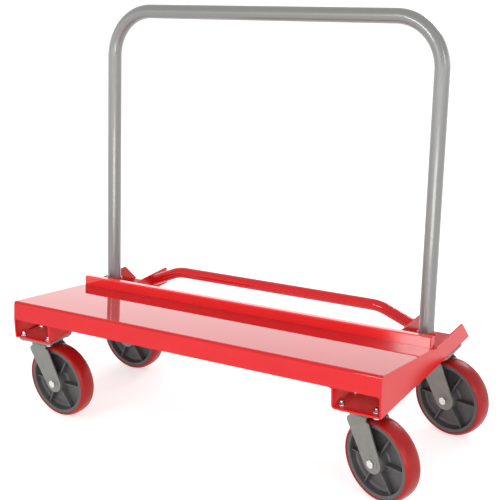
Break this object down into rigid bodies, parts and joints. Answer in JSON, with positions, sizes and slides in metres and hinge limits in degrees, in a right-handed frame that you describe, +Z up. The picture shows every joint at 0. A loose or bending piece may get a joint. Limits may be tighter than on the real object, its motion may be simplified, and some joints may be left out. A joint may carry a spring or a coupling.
{
  "type": "drywall cart",
  "caption": "Low steel cart for wallboard sheets: sloping deck with a rear stop, lift-out upright tube frame, rear rail and swivel casters.",
  "frame": {"origin": "on the floor under the centre of the bounding box at rest", "axes": "+X to the right along the deck, +Y to the rear where the upright frame stands, +Z up"},
  "size_m": [1.2522, 0.5672, 1.1118],
  "materials": {
    "red_paint": "gloss",
    "silver_paint": "semi-gloss",
    "grey_steel": "satin",
    "zinc_bolt": "bright zinc",
    "core_plastic": "satin",
    "red_urethane": "satin"
  },
  "bodies": {
    "cart": {"backstop": "red_paint", "backstop_cap_left": "red_paint", "backstop_cap_right": "red_paint", "caster_channel_left": "red_paint", "caster_channel_right": "red_paint", "caster_plate_front_left": "grey_steel", "caster_plate_front_right": "grey_steel", "caster_plate_rear_left": "grey_steel", "caster_plate_rear_right": "grey_steel", "deck_rib": "red_paint", "deck_tray": "red_paint", "end_plate_left": "red_paint", "end_plate_right": "red_paint", "leg_socket_left": "red_paint", "leg_socket_right": "red_paint", "plate_bolt_front_left_1": "zinc_bolt", "plate_bolt_front_left_2": "zinc_bolt", "plate_bolt_front_left_3": "zinc_bolt", "plate_bolt_front_left_4": "zinc_bolt", "plate_bolt_front_right_1": "zinc_bolt", "plate_bolt_front_right_2": "zinc_bolt", "plate_bolt_front_right_3": "zinc_bolt", "plate_bolt_front_right_4": "zinc_bolt", "plate_bolt_rear_left_1": "zinc_bolt", "plate_bolt_rear_left_2": "zinc_bolt", "plate_bolt_rear_left_3": "zinc_bolt", "plate_bolt_rear_left_4": "zinc_bolt", "plate_bolt_rear_right_1": "zinc_bolt", "plate_bolt_rear_right_2": "zinc_bolt", "plate_bolt_rear_right_3": "zinc_bolt", "plate_bolt_rear_right_4": "zinc_bolt", "rear_rail": "red_paint"},
    "handle": {"handle_frame": "silver_paint"},
    "swivel_front_left": {"ball_race_front_left": "zinc_bolt", "fork_front_left": "grey_steel", "axle_bolt_front_left": "zinc_bolt", "axle_nut_front_left": "zinc_bolt"},
    "wheel_front_left": {"wheel_core_front_left": "core_plastic", "tyre_front_left": "red_urethane"},
    "swivel_front_right": {"ball_race_front_right": "zinc_bolt", "fork_front_right": "grey_steel", "axle_bolt_front_right": "zinc_bolt", "axle_nut_front_right": "zinc_bolt"},
    "wheel_front_right": {"wheel_core_front_right": "core_plastic", "tyre_front_right": "red_urethane"},
    "swivel_rear_right": {"ball_race_rear_right": "zinc_bolt", "fork_rear_right": "grey_steel", "axle_bolt_rear_right": "zinc_bolt", "axle_nut_rear_right": "zinc_bolt"},
    "wheel_rear_right": {"wheel_core_rear_right": "core_plastic", "tyre_rear_right": "red_urethane"},
    "swivel_rear_left": {"ball_race_rear_left": "zinc_bolt", "fork_rear_left": "grey_steel", "axle_bolt_rear_left": "zinc_bolt", "axle_nut_rear_left": "zinc_bolt"},
    "wheel_rear_left": {"wheel_core_rear_left": "core_plastic", "tyre_rear_left": "red_urethane"}
  },
  "joints": [
    {"name": "handle_lift", "type": "slide", "parent": "cart", "child": "handle", "axis": [0, 0.1323, 0.9912], "range_m": [0, 0.055]},
    {"name": "swivel_turn_front_left", "type": "hinge", "parent": "cart", "child": "swivel_front_left", "pos_m": [-0.55176, -0.22237, 0.232], "axis": [0, 0, 1], "continuous": true},
    {"name": "wheel_spin_front_left", "type": "hinge", "parent": "swivel_front_left", "child": "wheel_front_left", "pos_m": [-0.50189, -0.22586, 0.106], "axis": [0.0698, 0.9976, 0], "continuous": true},
    {"name": "swivel_turn_front_right", "type": "hinge", "parent": "cart", "child": "swivel_front_right", "pos_m": [0.45424, -0.21437, 0.232], "axis": [0, 0, 1], "continuous": true},
    {"name": "wheel_spin_front_right", "type": "hinge", "parent": "swivel_front_right", "child": "wheel_front_right", "pos_m": [0.50179, -0.22982, 0.106], "axis": [0.309, 0.9511, 0], "continuous": true},
    {"name": "swivel_turn_rear_right", "type": "hinge", "parent": "cart", "child": "swivel_rear_right", "pos_m": [0.47224, 0.17363, 0.232], "axis": [0, 0, 1], "continuous": true},
    {"name": "wheel_spin_rear_right", "type": "hinge", "parent": "swivel_rear_right", "child": "wheel_rear_right", "pos_m": [0.52095, 0.16238, 0.106], "axis": [0.225, 0.9744, 0], "continuous": true},
    {"name": "swivel_turn_rear_left", "type": "hinge", "parent": "cart", "child": "swivel_rear_left", "pos_m": [-0.56976, 0.13363, 0.232], "axis": [0, 0, 1], "continuous": true},
    {"name": "wheel_spin_rear_left", "type": "hinge", "parent": "swivel_rear_left", "child": "wheel_rear_left", "pos_m": [-0.51983, 0.13101, 0.106], "axis": [0.0523, 0.9986, 0], "continuous": true}
  ]
}
